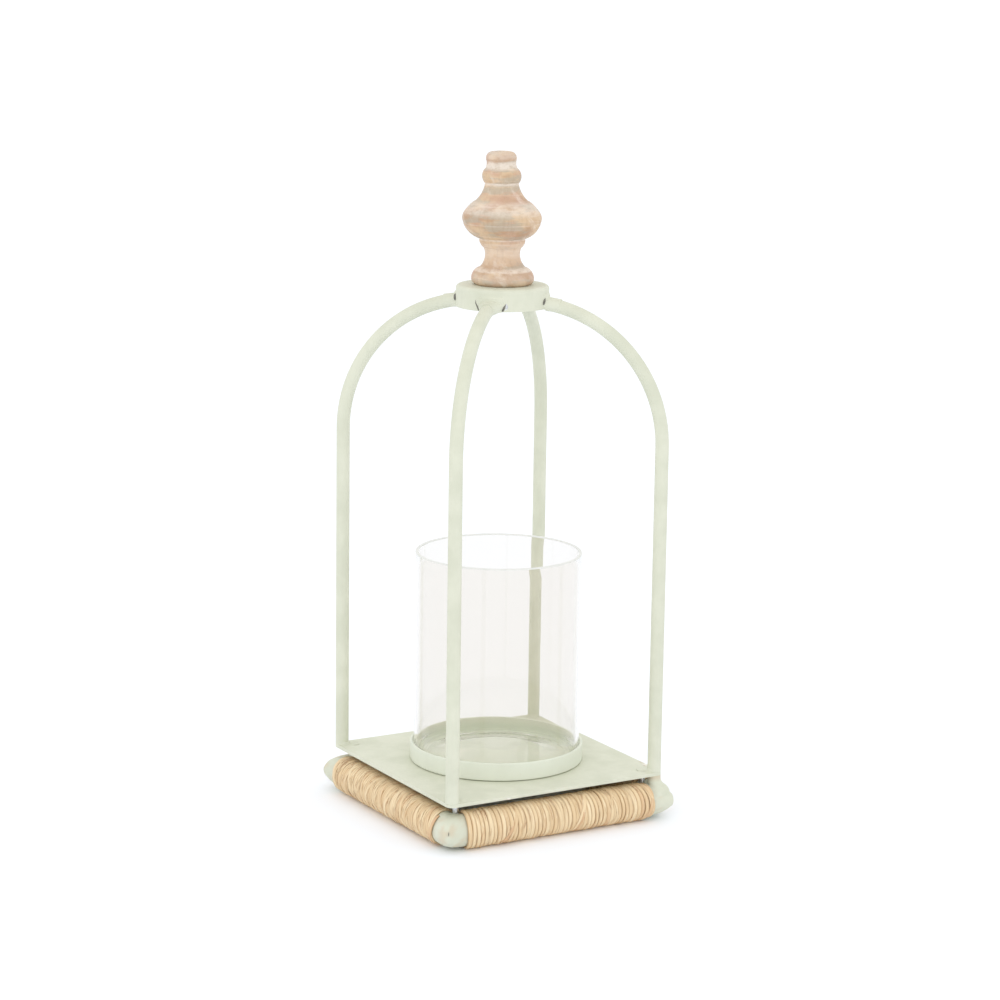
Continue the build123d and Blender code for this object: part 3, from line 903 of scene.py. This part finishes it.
def weld_fan(name, degrees, seed, breadth):
    """The hammered end of a bar, spread and welded on the cap's side wall."""
    rng = np.random.default_rng(seed)
    bottom, top = CAP_LOW.z - FAN_UNDER, CAP_LOW.z + FAN_TALL
    height = np.linspace(bottom, top, FAN_ROWS)
    share = (height - bottom) / (top - bottom)
    round_top = np.sqrt(np.clip(1 - np.clip((share - 0.72) / 0.30, 0, 1) ** 2, 0.02, 1))
    half = (breadth + 3.2 * share) * MM * round_top
    half *= 1 + 0.05 * wander(rng, FAN_ROWS, 6)
    u = np.linspace(-1, 1, FAN_COLUMNS)
    across = half[:, None] * u
    edge = np.clip((1 - np.abs(u)) / 0.18, 0, 1)
    edge = edge * edge * (3 - 2 * edge)
    ends = np.clip((1 - share) / 0.15, 0, 1)[:, None]
    ridge = 3.3 * MM * np.exp(-(across / (4.2 * MM)) ** 2) * np.clip(1 - share * 1.25, 0, 1)[:, None]
    skin = 0.85 * MM + 0.35 * MM * np.cos(across / (1.9 * MM) + seed)
    front = edge * ends * (skin + ridge)
    spread = np.stack([across, np.zeros_like(across), np.repeat(height[:, None], FAN_COLUMNS, 1)], -1)
    front += lumps(spread, 2.6 * MM, 0.35 * MM, seed) * edge
    outer = on_cap(across, spread[..., 2], front - 0.15 * MM)
    inner = on_cap(across, spread[..., 2], -FAN_DEPTH)
    grid = turned(np.concatenate([outer, inner[:, ::-1]], axis=1), degrees + 90)
    build(name, [(grid, {})], PAINT, sharp=60)


# The painted shade in the slits beside the welds, as dark lenses. For each: where it starts round
# and above the cap's lower edge, how far it leans, its height, its half breadth, and how far out
# and how thick it is, in millimetres.
CREVICE_SHADES = {
    "front_left": ((-7.6, 0.3, -2.2, 6.2, 0.5, 0, 0.25), (7.0, 0.3, 2.4, 4.6, 0.75, 0, 0.35)),
    "front_right": ((-7.4, 2.6, 1.4, 4.4, 0.75, 0.4, 0.7), (7.2, 0.3, 2.2, 7.0, 0.5, 0, 0.25)),
    "back_right": ((-7.2, 0.3, -2.2, 6.0, 0.55, 0, 0.3), (7.2, 0.3, 2.2, 7.0, 0.5, 0, 0.25)),
    "back_left": ((-7.2, 0.3, -2.2, 7.0, 0.5, 0, 0.25), (8.2, 3.0, 0.3, 4.2, 0.9, 0.3, 1.0)),
}


def crevice(name, degrees, slit, seed):
    """A dark slit of painted shade beside a weld, as a thin curved lens on the cap's side wall."""
    rng = np.random.default_rng(seed)
    count, points = 22, 8
    share = np.linspace(0, 1, count)
    start, base, lean, tall, broad, out, thick = slit
    height = CAP_LOW.z + (base + tall * share) * MM
    across = (start + lean * share + 0.3 * wander(rng, count, 7)) * MM
    wide = broad * MM * np.sin(math.pi * (0.12 + 0.88 * share) ** 0.8) + 0.04 * MM
    section = np.linspace(0, 2 * math.pi, points, endpoint=False)
    bulge = thick * MM * np.sin(math.pi * share)[:, None] ** 0.5 * np.sin(section)
    z = np.repeat(height[:, None], points, 1)
    lens = on_cap(across[:, None] + wide[:, None] * np.cos(section), z, out * MM + bulge)
    build(name, [(turned(lens, degrees + 90), {})], CREVICE_SHADE)


DAB_POINTS, DAB_ROWS = 28, 13


def dab(name, centre, size, facing, material, seed, marks=None):
    """A small lumpy dab of paint, metal or dirt lying on a surface; facing is its normal."""
    around = np.linspace(0, 2 * math.pi, DAB_POINTS, endpoint=False)
    rise = np.radians(np.linspace(-88, 88, DAB_ROWS))
    flat = np.stack([
        np.cos(rise)[:, None] * np.cos(around), np.cos(rise)[:, None] * np.sin(around),
        np.sin(rise)[:, None] * np.ones_like(around),
    ], -1)
    flat *= 1 + (lumps(flat, 0.55, 0.5, seed) + lumps(flat, 0.2, 0.2, seed + 3))[..., None]
    turn = Vector(facing).to_track_quat("Z", "Y").to_matrix()
    grid = (flat * np.array(size) * MM) @ np.array(turn).T + np.array(centre) * MM
    value = {key: np.full(grid.shape[:2], share) for key, share in (marks or {}).items()}
    build(name, [(grid, value)], material)


ROD_R = 4 * MM                 # half a bar's thickness
FOOT_POINTS = 48
# A foot weld's section from the bottom up: how far it swells, and its height in millimetres.
FOOT_RISE = ((1.0, -0.4), (1.0, 0.0), (0.86, 0.25), (0.45, 0.75), (0.12, 1.5), (-0.1, 2.2), (-0.6, 2.3))


def foot_weld(name, degrees, seed):
    """A low bead of weld on the inner side of a bar's foot."""
    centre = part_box("cage_rod_front_right")[1].x - ROD_R
    angle = np.linspace(0, 2 * math.pi, FOOT_POINTS, endpoint=False)
    inner = np.clip(0.35 - np.cos(angle), 0, 1)
    rows = []
    for swell, height in FOOT_RISE:
        radius = ROD_R - 0.25 * MM + (0.25 + swell * 1.25) * MM * inner
        rows.append(np.stack([
            centre * math.sqrt(2) + radius * np.cos(angle),
            radius * np.sin(angle),
            np.full(FOOT_POINTS, PLATE_TOP + height * MM),
        ], -1))
    grid = np.array(rows)
    push = lumps(grid, 2.2 * MM, 0.22 * MM, seed) * inner
    grid[..., 0] += push * np.cos(angle)
    grid[..., 1] += push * np.sin(angle)
    build(name, [(turned(grid, degrees), {})], PAINT)


def ring_top(x, y):
    """The height of the ring's skin at places near its front right corner, ground round."""
    beyond = np.clip(x - RING_HALF, 0, None) ** 4 + np.clip(-y - RING_HALF, 0, None) ** 4
    inside = np.clip(RING_HALF - np.maximum(x, -y), 0, None)
    out = np.clip((beyond ** 0.25 + inside) / TUBE_R, 0, 1)
    return RING_Z + TUBE_R * np.sqrt(1 - out**2)


def held_in(x, y, reach):
    """Places near that corner, pulled in to the ring's outline grown by that reach."""
    over_x, over_y = np.clip(x - RING_HALF, 0, None), np.clip(-y - RING_HALF, 0, None)
    far = (over_x**4 + over_y**4) ** 0.25
    pull = 1 - np.minimum(1, (TUBE_R + reach) / np.maximum(far, MM / 100))
    return x - over_x * pull, y + over_y * pull


FILLET = 0.9                   # how softly the lump runs out on the ring, in millimetres
LUMP_POINTS = 64
# The lump from the top down, in millimetres: each row's radius, its height over the plate's underside,
# how far it leans out over the corner, how far past the ring's skin it may go, and how far it dives.
LUMP_ROWS = [
    (3.7, 0.2, 0.0, 0.0, 0.0), (4.0, -0.3, 0.0, 0.0, 0.0), (3.9, -1.3, 0.0, 0.0, 0.0),
    (3.9, -2.4, 0.1, 0.0, 0.0), (4.0, -3.4, 0.2, 0.0, 0.0), (4.2, -4.3, 0.4, 0.0, 0.0),
    (4.5, -5.2, 0.8, 0.0, 0.0), (5.0, -6.0, 1.4, -3.0, 0.0), (5.6, -6.8, 2.1, -2.4, 0.0),
    (6.4, -7.8, 2.6, -1.8, 0.0), (7.2, -9.0, 3.1, -1.3, 0.0), (8.0, -10.5, 3.4, -0.9, 0.1),
    (8.7, -12.0, 3.6, -0.7, 0.3), (9.2, -13.5, 3.8, -0.7, 0.7), (9.6, -15.0, 4.0, -0.8, 1.4),
    (9.8, -17.0, 4.1, -0.9, 2.4),
]


def corner_lump():
    """The weld from the plate down to the ring at the front right, run out over the corner."""
    centre = (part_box("corner_weld")[0].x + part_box("corner_weld")[1].x) / 2
    plate_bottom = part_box("base_plate")[0].z
    angle = np.linspace(0, 2 * math.pi, LUMP_POINTS, endpoint=False)
    rows = []
    for radius, rise, out, reach, dive in LUMP_ROWS:
        middle = centre + out * MM / math.sqrt(2)
        x, y = middle + radius * MM * np.cos(angle), -middle + radius * MM * np.sin(angle)
        x, y = held_in(x, y, reach * MM)
        skin, post = ring_top(x, y) / MM, plate_bottom / MM + rise
        height = np.logaddexp(skin / FILLET, post / FILLET) * FILLET - dive
        rows.append(np.stack([x, y, height * MM], -1))
    grid = np.array(rows)
    push = lumps(grid, 3.5 * MM, 0.25 * MM, 9)
    grid[..., 0] += push * np.cos(angle)
    grid[..., 1] += push * np.sin(angle)
    drops = np.repeat(np.array([[-row[1]] for row in LUMP_ROWS]), LUMP_POINTS, 1)
    rust = np.clip(1 - np.abs(drops - 0.8) / 3.2, 0, 1)
    piece = build("corner_weld_lump", [(grid, {"rust": rust})], PAINT)
    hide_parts("corner_weld")


UP = (0, 0, 1)
RUSTY, CHALKY = {"rust": 1.0}, {"chalk_and_reflection": 1.0}
SCREW_HALF = 64                # a screw's distance from each middle line, in millimetres


def add_dabs():
    """Paint over the screws' tips, and the small marks left by hand work, in millimetres."""
    top, cap = PLATE_TOP / MM, CAP_LOW.z / MM
    for number, (x, y) in enumerate(((-1, -1), (1, -1), (1, 1), (-1, 1))):
        tip = (x * SCREW_HALF, y * SCREW_HALF, top)
        dab(f"screw_paint_{number}", tip, (3.4, 3.4, 0.3), UP, PAINT, 71 + number)
    dab("plate_chalk", (71.4, -56.0, top), (1.5, 2.6, 0.25), UP, PAINT, 81, CHALKY)
    dab("plate_scratch_a", (72.1, -50.6, top), (0.4, 2.9, 0.1), UP, PAINT, 82, RUSTY)
    dab("plate_scratch_b", (70.2, -57.6, top), (0.5, 1.3, 0.1), UP, PAINT, 83, RUSTY)
    dab("rod_rust", (-71.2, 66.1, top + 0.7), (0.8, 0.8, 0.2), (-0.49, -0.85, 0.2), PAINT, 84, RUSTY)
    dab("edge_chip", (-33.9, -73.3, top - 1.6), (1.2, 0.5, 0.22), (0, -1, 0.2), PAINT, 85, CHALKY)
    # a dark tick on the front nose, in the same dark as the painted crevice shade
    dab("nose_tick", (-76.3, -78.0, 13.1), (0.22, 1.1, 0.22), (-1, -1, 0.3), CREVICE_SHADE, 86)
    dab("cap_spatter", (-11.4, -24.6, cap + 3.2), (1.5, 2.4, 0.5), (-0.4, -1, 0), ZINC, 87)


# ---------------------------------------------------------------- making

PAINT = make_paint("sage_paint", SAGE, SAGE_SHADE, STAIN_SHARE)
CUP_PAINT = make_paint("sage_paint_cup", CUP_SAGE, CUP_SHADE, CUP_STAIN_SHARE)
RAFFIA = make_raffia()
WOOD = make_wood()
ZINC = make_steel("zinc", ZINC_BRIGHT, ZINC_WORN)
CREVICE_SHADE = make_crevice_shade()
GLASS = make_glass()
RIM_HIGHLIGHT = make_rim_highlight()

add_camera()
add_key_light()
add_studio()

for number, (side, degrees) in enumerate(SIDES.items()):
    rail = build(f"ring_rail_{side}", [ring_rail(number, degrees)], PAINT, sharp=40)
    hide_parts(f"base_rail_{side}")
    bind(side, degrees, 21 + number)

make_finial()
make_seat()
make_glass_piece()
corner_lump()
for number, (corner, degrees) in enumerate(CORNERS.items()):
    weld_fan(f"cap_weld_{corner}", degrees, 31 + number, FAN_BREADTH[corner])
    crevice(f"cap_crevice_a_{corner}", degrees, CREVICE_SHADES[corner][0], 41 + number)
    crevice(f"cap_crevice_b_{corner}", degrees, CREVICE_SHADES[corner][1], 51 + number)
    foot_weld(f"foot_weld_{corner}", degrees, 61 + number)

add_dabs()

STEEL_NODES = ("corner_screws", "finial_screw", "finial_washer")
for name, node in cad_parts.items():
    node.data.materials.clear()
    node.data.materials.append(ZINC if name in STEEL_NODES else PAINT)
